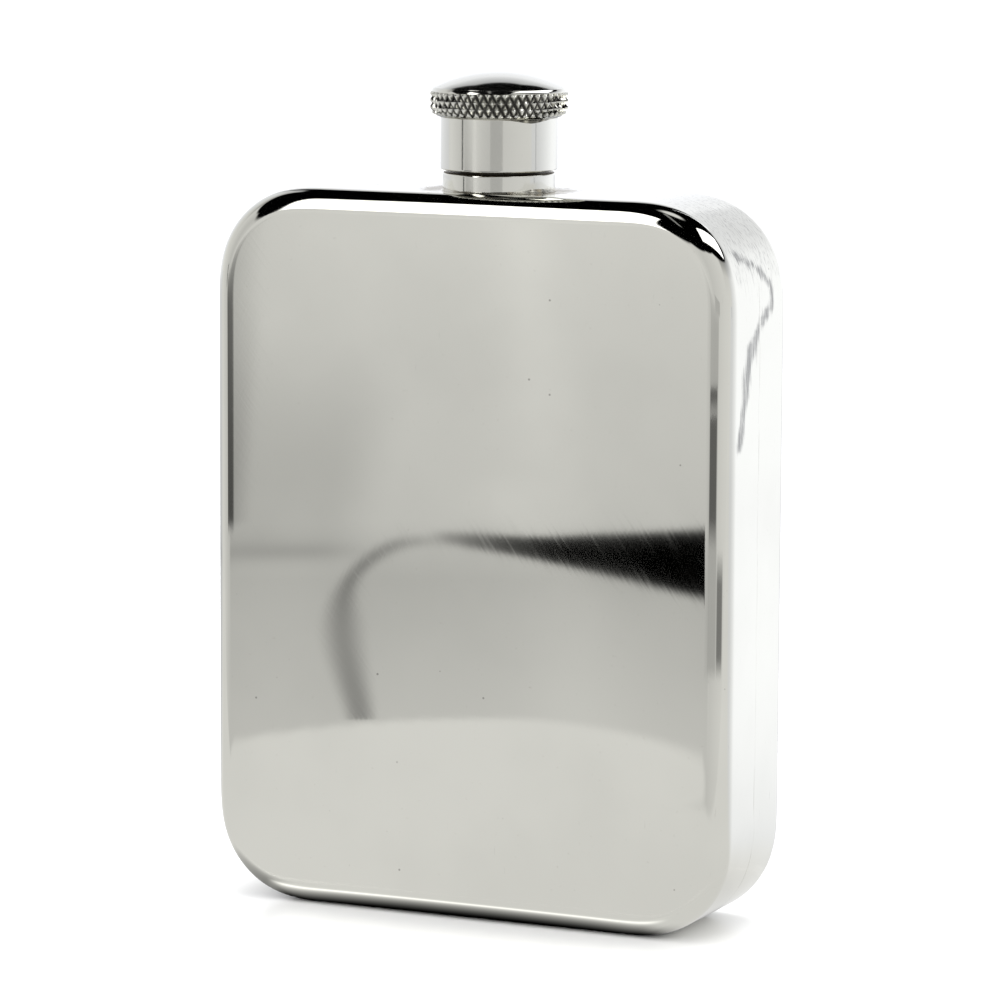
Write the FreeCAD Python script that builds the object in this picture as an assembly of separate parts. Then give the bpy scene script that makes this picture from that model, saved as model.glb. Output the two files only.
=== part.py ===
"""Pocket hip flask: a pewter body of two pressed shells, a soldered neck and a screw cap.

Units are millimetres. The origin is the middle of the base, +Z is up, +X is to the right
and -Y is the front face. Each piece is written as one solid to parts/NODE.step.
"""

import FreeCAD
import Part

import math
import os

# ---- driving dimensions ------------------------------------------------------------
BODY_WIDTH = 90.0
BODY_DEPTH = 25.0
BODY_HEIGHT = 116.5
CORNER_RADIUS = 15.5  # the four corners, seen from the front
EDGE_RADIUS = 3.2  # rolled edge between a face and the side
WALL = 1.2  # pewter sheet

SEAM_GAP = 0.3  # solder film between the two shells
SEAM_INSET = 0.05  # the seam is polished just below the surface
SEAM_BEAD_WIDTH = 1.6  # solder that ran through to the inside
SEAM_BEAD_HEIGHT = 0.5

BORE_RADIUS = 5.2  # pouring bore
SHANK_RADIUS = 6.28  # spout tube where it sits in the collar
THREAD_ROOT_RADIUS = 6.5
THREAD_CREST_RADIUS = 7.2
THREAD_PITCH = 2.0
THREAD_ROOT_WIDTH = 1.2
THREAD_CREST_WIDTH = 0.5
THREAD_TURNS_SWEPT = 5
THREAD_BURIED = 0.2  # how far a thread's foot goes into the wall it stands on
THREAD_CLEARANCE = 0.15  # radial and axial, between the screwed pieces
THREAD_RUNOUT = 0.8  # length over which the thread fades in and out
THREAD_PHASE = 50.0  # degrees from +X, the same for both pieces so that they mesh
THREAD_ABOVE_COLLAR = 1.0
THREAD_BELOW_INSERT_TOP = 0.6
THREAD_LEAD_IN = 0.7  # the sweep starts this much lower and is trimmed
TRIM_MARGIN = 0.01  # trimming envelopes stand this far off the crests
RIM_CHAMFER = 0.35  # both edges of the pouring rim

COLLAR_RADIUS = 9.0
COLLAR_HEIGHT = 2.85
COLLAR_EDGE = 0.25
SPIGOT_RADIUS = 7.88  # collar's foot, in the hole in the shells
SPIGOT_DEPTH = 1.6
SOLDER_CLEARANCE = 0.02
NECK_FILLET = 0.6
FILLET_WAIST = 0.36  # how far a fillet's hollow face stands off its corner, as a share of its size

SKIRT_RADIUS = 9.35
SKIRT_WALL = 0.93
SKIRT_HEIGHT_VISIBLE = 8.45
SKIRT_SOCKET_DEPTH = 1.5  # the skirt's top end stands in the cap head
CAP_GAP = 0.5  # between the closed cap and the collar
CAP_FILLET = 0.35
SKIRT_EDGE = 0.15

HEAD_RADIUS = 11.0
HEAD_CORE_RADIUS = 9.9  # solid metal behind the knurl
HEAD_RIM_HEIGHT = 4.35
DOME_HEIGHT = 2.65
LIP_RADIUS = 10.85  # smooth edge of the dome, above the knurl
LIP_HEIGHT = 0.25

KNURL_COUNT = 48
KNURL_ROWS = 4  # half diamonds up the band
KNURL_DEPTH = 0.45
KNURL_ROUNDING = 1.1  # height over which the band turns in at its lower edge
KNURL_TURN_IN = 0.65
KNURL_TOP_OVERLAP = 0.05  # the band runs up into the lip
KNURL_BOTTOM_GAP = 0.3
KNURL_BURIED = 0.2  # how far the band's inner wall lies inside the core

INSERT_RADIUS = 8.4
INSERT_RECESS = 0.4  # the insert starts above the skirt's lower edge
INSERT_LENGTH = 8.4
RIM_STAND = 0.3  # the spout's rim stands above the insert, against the seal
SEAL_RADIUS = 8.2
SEAL_THICKNESS = 1.4
SEAL_PLAY = 0.05  # the washer swivels under the head

# ---- heights that follow ------------------------------------------------------------
COLLAR_TOP_Z = BODY_HEIGHT + COLLAR_HEIGHT
SKIRT_BOTTOM_Z = COLLAR_TOP_Z + CAP_GAP
HEAD_BOTTOM_Z = SKIRT_BOTTOM_Z + SKIRT_HEIGHT_VISIBLE
SKIRT_TOP_Z = HEAD_BOTTOM_Z + SKIRT_SOCKET_DEPTH
HEAD_TOP_Z = HEAD_BOTTOM_Z + HEAD_RIM_HEIGHT
DOME_TOP_Z = HEAD_TOP_Z + DOME_HEIGHT
INSERT_BOTTOM_Z = SKIRT_BOTTOM_Z + INSERT_RECESS
INSERT_TOP_Z = INSERT_BOTTOM_Z + INSERT_LENGTH
SPOUT_RIM_Z = INSERT_TOP_Z + RIM_STAND
CHAMBER_TOP_Z = SPOUT_RIM_Z + SEAL_THICKNESS + SEAL_PLAY
SPOUT_FOOT_Z = BODY_HEIGHT - SPIGOT_DEPTH
THREAD_BOTTOM_Z = COLLAR_TOP_Z + THREAD_ABOVE_COLLAR
THREAD_TOP_Z = INSERT_TOP_Z - THREAD_BELOW_INSERT_TOP
THREAD_START_Z = THREAD_BOTTOM_Z - THREAD_LEAD_IN
SKIRT_INNER_RADIUS = SKIRT_RADIUS - SKIRT_WALL

AXIS = FreeCAD.Vector(0, 0, 1)
CENTRE = FreeCAD.Vector(0, 0, 0)


# ---- helpers -------------------------------------------------------------------------
def point(x, y, z):
    return FreeCAD.Vector(x, y, z)


def revolved(profile):
    """A solid of revolution about Z from a closed outline of (radius, z) points."""
    corners = [point(r, 0, z) for r, z in profile]
    wire = Part.makePolygon(corners + corners[:1])
    return Part.Face(wire).revolve(CENTRE, AXIS, 360)


def tube(outer, inner, bottom, top):
    return revolved([(inner, bottom), (outer, bottom), (outer, top), (inner, top)])


def rounded_slab(inset, half_depth):
    """The body's front outline, moved inwards by inset, from -half_depth to half_depth in Y."""
    width = BODY_WIDTH - 2 * inset
    height = BODY_HEIGHT - 2 * inset
    slab = Part.makeBox(width, 2 * half_depth, height, point(-width / 2, -half_depth, inset))
    corners = [
        edge
        for edge in slab.Edges
        if abs(edge.Vertexes[0].Y - edge.Vertexes[1].Y) > half_depth
    ]
    return slab.makeFillet(CORNER_RADIUS - inset, corners)


def rounded_body(inset):
    """The body's outer form, or its hollow when inset is the wall: both faces roll into the side."""
    half_depth = BODY_DEPTH / 2 - inset
    slab = rounded_slab(inset, half_depth)
    rims = [
        edge
        for edge in slab.Edges
        if all(abs(abs(vertex.Y) - half_depth) < 1e-6 for vertex in edge.Vertexes)
        and abs(edge.Vertexes[0].Y - edge.Vertexes[-1].Y) < 1e-6
    ]
    return slab.makeFillet(EDGE_RADIUS - inset, rims)


def ridge_width(radius):
    """Width of the spout's thread at a radius, its flanks carried on in a straight line."""
    flank = (THREAD_ROOT_WIDTH - THREAD_CREST_WIDTH) / (THREAD_CREST_RADIUS - THREAD_ROOT_RADIUS)
    return THREAD_ROOT_WIDTH - flank * (radius - THREAD_ROOT_RADIUS)


def helical_ridge(root_radius, crest_radius, root_width, crest_width, turns, start_z):
    """A right-hand thread form, swept along its helix from start_z."""
    helix = Part.makeHelix(THREAD_PITCH, turns * THREAD_PITCH, root_radius)
    outline = [
        point(root_radius, 0, -root_width / 2),
        point(crest_radius, 0, -crest_width / 2),
        point(crest_radius, 0, crest_width / 2),
        point(root_radius, 0, root_width / 2),
    ]
    section = Part.makePolygon(outline + outline[:1])
    ridge = Part.Wire(helix.Edges).makePipeShell([section], True, True)
    ridge.translate(point(0, 0, start_z))
    ridge.rotate(CENTRE, AXIS, THREAD_PHASE)
    return ridge


# ---- body ----------------------------------------------------------------------------
def shells():
    """The front and back pressings: one hollow form, parted at the seam and pierced for the neck."""
    hollow = rounded_body(0).cut(rounded_body(WALL))
    neck_hole = Part.makeCylinder(
        SPIGOT_RADIUS + SOLDER_CLEARANCE, 3 * WALL, point(0, 0, BODY_HEIGHT - 2 * WALL)
    )
    hollow = hollow.cut(neck_hole)
    half = Part.makeBox(
        2 * BODY_WIDTH,
        BODY_DEPTH,
        2 * BODY_HEIGHT,
        point(-BODY_WIDTH, -BODY_DEPTH - SEAM_GAP / 2, -BODY_HEIGHT / 2),
    )
    front = hollow.common(half)
    back = front.mirror(CENTRE, point(0, 1, 0))
    return front, back


def seam_solder():
    """Solder film between the shells, with the bead that ran through to the inside."""
    film = rounded_slab(SEAM_INSET, SEAM_GAP / 2)
    bead = rounded_slab(WALL, SEAM_BEAD_WIDTH / 2)
    inside = rounded_slab(WALL + SEAM_BEAD_HEIGHT, SEAM_BEAD_WIDTH)
    neck_hole = Part.makeCylinder(
        SPIGOT_RADIUS + SOLDER_CLEARANCE, 4 * WALL, point(0, 0, BODY_HEIGHT - 3 * WALL)
    )
    return film.fuse(bead).cut(inside).cut(neck_hole).removeSplitter()


def neck_collar():
    """Turned collar whose spigot stands in the hole in the shells."""
    bore = SHANK_RADIUS + SOLDER_CLEARANCE
    return revolved(
        [
            (bore, SPOUT_FOOT_Z),
            (SPIGOT_RADIUS, SPOUT_FOOT_Z),
            (SPIGOT_RADIUS, BODY_HEIGHT),
            (COLLAR_RADIUS, BODY_HEIGHT),
            (COLLAR_RADIUS, COLLAR_TOP_Z - COLLAR_EDGE),
            (COLLAR_RADIUS - COLLAR_EDGE, COLLAR_TOP_Z),
            (bore, COLLAR_TOP_Z),
        ]
    )


def solder_fillet(radius, size, z, upward):
    """A hollow-faced fillet of solder round a cylinder, against the plane at z."""
    way = 1 if upward else -1
    waist = size * FILLET_WAIST
    return revolved(
        [
            (radius, z),
            (radius + size, z),
            (radius + waist, z + way * waist),
            (radius, z + way * size),
        ]
    )


def threaded_spout():
    """Harder metal tube: shank in the collar, external thread, and the pouring rim."""
    core = revolved(
        [
            (BORE_RADIUS, SPOUT_FOOT_Z),
            (SHANK_RADIUS, SPOUT_FOOT_Z),
            (SHANK_RADIUS, COLLAR_TOP_Z),
            (THREAD_ROOT_RADIUS, COLLAR_TOP_Z),
            (THREAD_ROOT_RADIUS, SPOUT_RIM_Z - RIM_CHAMFER),
            (THREAD_ROOT_RADIUS - RIM_CHAMFER, SPOUT_RIM_Z),
            (BORE_RADIUS + RIM_CHAMFER, SPOUT_RIM_Z),
            (BORE_RADIUS, SPOUT_RIM_Z - RIM_CHAMFER),
        ]
    )
    buried = THREAD_ROOT_RADIUS - THREAD_BURIED
    ridge = helical_ridge(
        buried,
        THREAD_CREST_RADIUS,
        ridge_width(buried),
        THREAD_CREST_WIDTH,
        THREAD_TURNS_SWEPT,
        THREAD_START_Z,
    )
    envelope = revolved(
        [
            (buried - THREAD_BURIED, THREAD_BOTTOM_Z),
            (THREAD_ROOT_RADIUS, THREAD_BOTTOM_Z),
            (THREAD_CREST_RADIUS + TRIM_MARGIN, THREAD_BOTTOM_Z + THREAD_RUNOUT),
            (THREAD_CREST_RADIUS + TRIM_MARGIN, THREAD_TOP_Z - THREAD_RUNOUT),
            (THREAD_ROOT_RADIUS, THREAD_TOP_Z),
            (buried - THREAD_BURIED, THREAD_TOP_Z),
        ]
    )
    return core.fuse(ridge.common(envelope))


# ---- cap -----------------------------------------------------------------------------
def knurled_band():
    """A ring of diamond pyramids. Grid points alternate between crest and valley."""
    bottom = HEAD_BOTTOM_Z + KNURL_BOTTOM_GAP
    top = HEAD_TOP_Z - LIP_HEIGHT + KNURL_TOP_OVERLAP
    columns = 2 * KNURL_COUNT
    inner = HEAD_CORE_RADIUS - KNURL_BURIED

    def grid_point(column, row):
        z = bottom + (top - bottom) * row / KNURL_ROWS
        below = min(max(0.0, 1 - (z - bottom) / KNURL_ROUNDING), 1.0)
        turn_in = KNURL_TURN_IN * (1 - math.sqrt(1 - below**2))
        valley = (column + row) % 2 or row in (0, KNURL_ROWS)
        radius = HEAD_RADIUS - turn_in - KNURL_DEPTH * valley
        angle = 2 * math.pi * column / columns
        return point(radius * math.cos(angle), radius * math.sin(angle), z)

    rows = [
        [grid_point(column % columns, row) for column in range(columns)]
        for row in range(KNURL_ROWS + 1)
    ]
    faces = []
    for row in range(KNURL_ROWS):
        for column in range(columns):
            after = (column + 1) % columns
            a, b = rows[row][column], rows[row][after]
            c, d = rows[row + 1][after], rows[row + 1][column]
            halves = [(a, b, d), (c, d, b)] if (column + row) % 2 == 0 else [(b, c, a), (d, a, c)]
            faces += [Part.Face(Part.makePolygon([*half, half[0]])) for half in halves]
    hole = Part.makeCylinder(inner, top - bottom, point(0, 0, bottom))
    for row, z in ((rows[0], bottom), (rows[-1], top)):
        rim = Part.Wire(Part.makePolygon([*row, row[0]]).Edges)
        circle = Part.Wire(Part.makeCircle(inner, point(0, 0, z)))
        faces.append(Part.makeFace([rim, circle], "Part::FaceMakerBullseye"))
    faces += [face for face in hole.Faces if abs(face.normalAt(0, 0).z) < 0.5]
    shell = Part.Compound(faces)
    shell.sewShape()
    band = Part.makeSolid(shell.Shells[0] if shell.Shells else Part.Shell(faces))
    return band if band.Volume > 0 else band.reversed()


def cap_head():
    """Domed head with its knurled rim, and a socket below for the skirt."""
    sphere = (LIP_RADIUS**2 + DOME_HEIGHT**2) / (2 * DOME_HEIGHT)
    middle_r = LIP_RADIUS / 2
    middle_z = DOME_TOP_Z - sphere + math.sqrt(sphere**2 - middle_r**2)
    chamber = SKIRT_INNER_RADIUS
    socket = SKIRT_RADIUS + SOLDER_CLEARANCE
    corners = [
        (0, DOME_TOP_Z),
        (LIP_RADIUS, HEAD_TOP_Z),
        (LIP_RADIUS, HEAD_TOP_Z - LIP_HEIGHT),
        (HEAD_CORE_RADIUS, HEAD_TOP_Z - LIP_HEIGHT),
        (HEAD_CORE_RADIUS, HEAD_BOTTOM_Z),
        (socket, HEAD_BOTTOM_Z),
        (socket, SKIRT_TOP_Z),
        (chamber, SKIRT_TOP_Z),
        (chamber, CHAMBER_TOP_Z),
        (0, CHAMBER_TOP_Z),
    ]
    places = [point(r, 0, z) for r, z in corners]
    dome = Part.Arc(places[0], point(middle_r, 0, middle_z), places[1]).toShape()
    straight = [
        Part.makeLine(places[i], places[(i + 1) % len(places)])
        for i in range(1, len(places))
    ]
    head = Part.Face(Part.Wire([dome, *straight])).revolve(CENTRE, AXIS, 360)
    return head.fuse(knurled_band())


def cap_skirt():
    """Plain sleeve below the head."""
    return revolved(
        [
            (SKIRT_INNER_RADIUS, SKIRT_BOTTOM_Z),
            (SKIRT_RADIUS - SKIRT_EDGE, SKIRT_BOTTOM_Z),
            (SKIRT_RADIUS, SKIRT_BOTTOM_Z + SKIRT_EDGE),
            (SKIRT_RADIUS, SKIRT_TOP_Z),
            (SKIRT_INNER_RADIUS, SKIRT_TOP_Z),
        ]
    )


def thread_insert():
    """Sleeve with the internal thread: a tooth that fills the spout's groove, less the clearance."""
    groove_radius = THREAD_CREST_RADIUS + THREAD_CLEARANCE
    tooth_radius = THREAD_ROOT_RADIUS + THREAD_CLEARANCE
    buried = groove_radius + THREAD_BURIED
    pitch_left = THREAD_PITCH - 2 * THREAD_CLEARANCE
    tooth = helical_ridge(
        buried,
        tooth_radius,
        pitch_left - ridge_width(buried),
        pitch_left - ridge_width(tooth_radius),
        THREAD_TURNS_SWEPT + 1,
        THREAD_START_Z - THREAD_PITCH / 2,
    )
    envelope = revolved(
        [
            (groove_radius, INSERT_BOTTOM_Z),
            (buried + THREAD_BURIED, INSERT_BOTTOM_Z),
            (buried + THREAD_BURIED, INSERT_TOP_Z),
            (groove_radius, INSERT_TOP_Z),
            (tooth_radius - TRIM_MARGIN, INSERT_TOP_Z - THREAD_RUNOUT),
            (tooth_radius - TRIM_MARGIN, INSERT_BOTTOM_Z + THREAD_RUNOUT),
        ]
    )
    sleeve = tube(INSERT_RADIUS, groove_radius, INSERT_BOTTOM_Z, INSERT_TOP_Z)
    return sleeve.fuse(tooth.common(envelope))


def seal():
    return Part.makeCylinder(SEAL_RADIUS, SEAL_THICKNESS, point(0, 0, SPOUT_RIM_Z))


# ---- export --------------------------------------------------------------------------
def main():
    front, back = shells()
    nodes = {
        "front_shell": front,
        "back_shell": back,
        "seam_solder": seam_solder(),
        "neck_collar": neck_collar(),
        "neck_solder": solder_fillet(COLLAR_RADIUS, NECK_FILLET, BODY_HEIGHT, True),
        "threaded_spout": threaded_spout(),
        "cap_head": cap_head(),
        "cap_skirt": cap_skirt(),
        "cap_solder": solder_fillet(SKIRT_RADIUS, CAP_FILLET, HEAD_BOTTOM_Z, False),
        "thread_insert": thread_insert(),
        "seal": seal(),
    }
    os.makedirs("parts", exist_ok=True)
    for name, shape in nodes.items():
        solids = shape.Solids
        print(f"{name}: {len(solids)} solid, valid {shape.isValid()}, {shape.Volume:.1f} mm3")
        shape.exportStep(f"parts/{name}.step")


main()
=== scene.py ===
import math

import bpy
import numpy as np
from mathutils import Matrix, Vector, noise


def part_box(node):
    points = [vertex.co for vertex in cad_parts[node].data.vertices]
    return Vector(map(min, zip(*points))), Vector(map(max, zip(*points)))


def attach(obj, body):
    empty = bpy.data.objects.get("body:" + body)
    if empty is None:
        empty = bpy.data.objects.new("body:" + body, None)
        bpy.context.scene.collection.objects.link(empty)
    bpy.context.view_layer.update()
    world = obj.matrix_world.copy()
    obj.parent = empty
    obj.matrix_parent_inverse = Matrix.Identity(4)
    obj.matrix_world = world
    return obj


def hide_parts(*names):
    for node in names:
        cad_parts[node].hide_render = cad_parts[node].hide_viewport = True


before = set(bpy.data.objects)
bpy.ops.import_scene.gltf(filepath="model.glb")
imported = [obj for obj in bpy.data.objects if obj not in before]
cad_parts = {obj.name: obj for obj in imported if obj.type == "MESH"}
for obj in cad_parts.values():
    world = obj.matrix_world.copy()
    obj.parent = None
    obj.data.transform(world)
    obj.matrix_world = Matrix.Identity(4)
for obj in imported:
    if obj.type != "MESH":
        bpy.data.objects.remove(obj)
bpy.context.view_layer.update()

MM = 0.001

# ---- sizes, in millimetres ---------------------------------------------------------
low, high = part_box("front_shell")
WIDTH = (high.x - low.x) / MM
HEIGHT = high.z / MM
HALF_DEPTH = -low.y / MM
SEAM = -high.y / MM  # half the solder film's thickness
CORNER = 15.5  # radius of the outline's corners
EASE = 0.28  # share of each corner over which its bend sets in
EDGE = 3.2  # radius of the rolled edge
WALL = 1.2
COLLAR_LOW, COLLAR_HIGH = (v.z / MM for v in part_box("neck_collar"))
COLLAR_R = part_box("neck_collar")[1].x / MM
SPIGOT_R = 7.88  # the part of the collar that sits in the shoulder
COLLAR_BORE = 6.3
SKIRT_LOW, SKIRT_HIGH = (v.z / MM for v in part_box("cap_skirt"))
SKIRT_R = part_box("cap_skirt")[1].x / MM
SKIRT_BORE = SKIRT_R - 0.93
FIT_GAP = 0.02  # between a turned piece and the hole cut for it
HEAD_LOW, HEAD_HIGH = (v.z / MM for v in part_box("cap_head"))
HEAD_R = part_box("cap_head")[1].x / MM
SEAL_LOW, SEAL_HIGH = (v.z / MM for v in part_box("seal"))
SEAL_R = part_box("seal")[1].x / MM
LIP_R = 10.85
LIP_CURVE = 1.35  # radius of the bevel between dome and knurl
DOME = 2.65  # height of the dome
UNDERSIDE_R = 9.9  # where the head's flat underside begins
KNURLS = 48
KNURL_STEPS = 16  # mesh steps across one diamond, and up it
KNURL_PITCH = 2.2  # height of one diamond
KNURL_DEPTH = 0.75

# mesh steps
LONG_STEPS, WIDE_STEPS, CORNER_STEPS = 86, 60, 30  # up a side, along the top, round a corner
OUTER_ROWS = (20, 19, 12, 34)  # up the side, over the rolled edge, on the flat, in to the middle
INNER_ROWS = (3, 7, 4, 10)
HOLE_STEPS = 128
TURN_STEPS = 240  # round the collar and the skirt
FILLET_STEPS = 360


# ---- mesh helpers -------------------------------------------------------------------
def make_object(name, vertices, faces, material):
    mesh = bpy.data.meshes.new(name)
    mesh.from_pydata([tuple(v) for v in np.asarray(vertices) * MM], [], faces)
    mesh.validate()
    mesh.update()
    mesh.polygons.foreach_set("use_smooth", [True] * len(mesh.polygons))
    obj = bpy.data.objects.new(name, mesh)
    bpy.context.scene.collection.objects.link(obj)
    mesh.materials.append(material)
    return obj


def ring_faces(rings, count, closed_rows=False):
    """Quads between rings of count points each, ring by ring. closed_rows joins the last to the first."""
    faces = []
    pairs = [(r, r + 1) for r in range(rings - 1)]
    if closed_rows:
        pairs.append((rings - 1, 0))
    for a, b in pairs:
        for i in range(count):
            j = (i + 1) % count
            faces.append((a * count + i, a * count + j, b * count + j, b * count + i))
    return faces


def turned_over(faces):
    return [tuple(reversed(face)) for face in faces]


def fan(start, count, tip, turned=False):
    """Triangles from the ring of count points that begins at start to the point tip."""
    pairs = [(start + i, start + (i + 1) % count) for i in range(count)]
    return [(b, a, tip) if turned else (a, b, tip) for a, b in pairs]


def full_turn(steps):
    return np.linspace(0, 2 * np.pi, steps, endpoint=False)


def circle(radius, z, angles):
    """A ring of points about the z axis. radius and z may each vary round it."""
    heights = np.broadcast_to(z, angles.shape)
    return np.column_stack([radius * np.cos(angles), radius * np.sin(angles), heights])


def turned_mesh(rings, ends=None):
    """Vertices and faces of a turned piece: a tube, or a solid closed on the axis at the heights ends."""
    count = len(rings[0])
    vertices = np.vstack(rings)
    faces = turned_over(ring_faces(len(rings), count, ends is None))
    if ends is not None:
        tip = len(vertices)
        faces += fan(0, count, tip) + fan(tip - count, count, tip + 1, turned=True)
        vertices = np.vstack([vertices, [[0, 0, z] for z in ends]])
    return vertices, faces


def vertex_places(obj):
    return np.array([v.co for v in obj.data.vertices]) / MM


def set_attribute(obj, name, values):
    attribute = obj.data.attributes.new(name, "FLOAT", "POINT")
    attribute.data.foreach_set("value", np.asarray(values, np.float32))


def wave(points, size, seed):
    """Smooth noise at each point, about -1 to 1, with bumps of the given size in mm."""
    shift = Vector((seed * 17.3, seed * 5.1, seed * 9.7))
    return np.array([noise.noise(Vector(p) / size + shift) for p in points])


def waves(points, layers):
    """Layers of wave, each given as (depth, size, seed)."""
    return sum(depth * wave(points, size, seed) for depth, size, seed in layers)


def sharp_edges(obj, degrees):
    obj.data.set_sharp_from_angle(angle=math.radians(degrees))


def cut_with_cylinder(obj, radius, low_z, high_z):
    """Takes an upright cylinder out of obj and keeps the result as plain mesh."""
    rings = [circle(radius, z, full_turn(HOLE_STEPS)) for z in (low_z, high_z)]
    lids = [tuple(range(HOLE_STEPS - 1, -1, -1)), tuple(range(HOLE_STEPS, 2 * HOLE_STEPS))]
    cutter = make_object("cutter", np.vstack(rings), ring_faces(2, HOLE_STEPS) + lids, obj.data.materials[0])
    modifier = obj.modifiers.new("cut", "BOOLEAN")
    modifier.operation, modifier.solver, modifier.object = "DIFFERENCE", "EXACT", cutter
    evaluated = obj.evaluated_get(bpy.context.evaluated_depsgraph_get())
    mesh = bpy.data.meshes.new_from_object(evaluated)
    obj.modifiers.clear()
    obj.data = mesh
    bpy.data.objects.remove(cutter)


def cut_neck_hole(obj):
    cut_with_cylinder(obj, SPIGOT_R + FIT_GAP, HEIGHT - 3, HEIGHT + 1)


# ---- shader helpers -----------------------------------------------------------------
class Nodes:
    """Short names for building a node tree."""

    def __init__(self, tree):
        self.tree = tree
        tree.nodes.clear()

    def add(self, kind, inputs=None, **settings):
        node = self.tree.nodes.new(kind)
        for key, value in settings.items():
            setattr(node, key, value)
        for key, value in (inputs or {}).items():
            if isinstance(value, bpy.types.NodeSocket):
                self.tree.links.new(value, node.inputs[key])
            else:
                node.inputs[key].default_value = value
        return node

    def math(self, operation, a, b=0.0):
        return self.add("ShaderNodeMath", {0: a, 1: b}, operation=operation).outputs[0]

    def ramp(self, value, low, high, out_low=0.0, out_high=1.0, kind="SMOOTHSTEP"):
        node = self.add(
            "ShaderNodeMapRange",
            {"Value": value, "From Min": low, "From Max": high, "To Min": out_low, "To Max": out_high},
            interpolation_type=kind,
        )
        return node.outputs[0]

    def mix_colour(self, factor, a, b):
        # its sockets go by number, because the colour ones share their names with others
        return self.add("ShaderNodeMix", {0: factor, 6: a, 7: b}, data_type="RGBA").outputs[2]

    def stretched_noise(self, turn, scale, detail=2.0):
        """Noise in object space, turned by Euler angles in degrees, then scaled per axis (per metre)."""
        place = self.add("ShaderNodeTexCoord").outputs["Object"]
        angles = [math.radians(t) for t in turn]
        turned = self.add("ShaderNodeMapping", {"Vector": place, "Rotation": angles}).outputs[0]
        stretched = self.add("ShaderNodeMapping", {"Vector": turned, "Scale": scale}).outputs[0]
        noise_node = self.add("ShaderNodeTexNoise", {"Vector": stretched, "Scale": 1.0, "Detail": detail})
        return noise_node.outputs["Fac"]

    def even_noise(self, scale, detail):
        return self.stretched_noise((0, 0, 0), (scale, scale, scale), detail)

    def surface(self, colour, roughness, height, relief, strength=1.0, metallic=1.0, specular=0.5):
        """Ends a material: a surface with bumps of the given relief in metres."""
        bump = self.add("ShaderNodeBump", {"Strength": strength, "Distance": relief, "Height": height})
        shader = self.add(
            "ShaderNodeBsdfPrincipled",
            {
                "Base Color": colour,
                "Metallic": metallic,
                "Roughness": roughness,
                "Specular IOR Level": specular,
                "Normal": bump.outputs[0],
            },
        )
        self.add("ShaderNodeOutputMaterial", {"Surface": shader.outputs[0]})


def new_material(name):
    material = bpy.data.materials.new(name)
    material.use_nodes = True
    return material, Nodes(material.node_tree)


PIT_CELLS = 270.0  # cells a metre, some of which hold a pit
PIT_SHARE = 0.18
PIT_COLOUR = (0.10, 0.095, 0.085, 1.0)
TARNISH_COLOUR = (0.30, 0.25, 0.16, 1.0)
# painted dirt, painted shade and painted reflection: its colour, how far it covers the metal, and the
# roughness it adds
DIRT_AND_SHADE = {
    # painted shade in the knurl's grooves, under the cap's head and on the solder beads
    "painted_shade": ((0.03, 0.029, 0.026, 1.0), 0.92, 0.12),
    # rough seam solder, painted darker as a painted reflection of its filing ripples
    "rough_and_painted_reflection": ((0.20, 0.20, 0.195, 1.0), 0.85, 0.22),
    # the brown bloom round soldered joints, and painted shade in the gap between the collar and the cap
    "stain_and_gap_shade": ((0.20, 0.155, 0.09, 1.0), 0.80, 0.22),
}
# grain that breaks the painted dirt, shade and reflection up: scale per axis a metre, and detail
DIRT_AND_SHADE_GRAIN = {"rough_and_painted_reflection": ((1700, 2400, 300), 4), "stain_and_gap_shade": ((1300, 1300, 1300), 3)}


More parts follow.
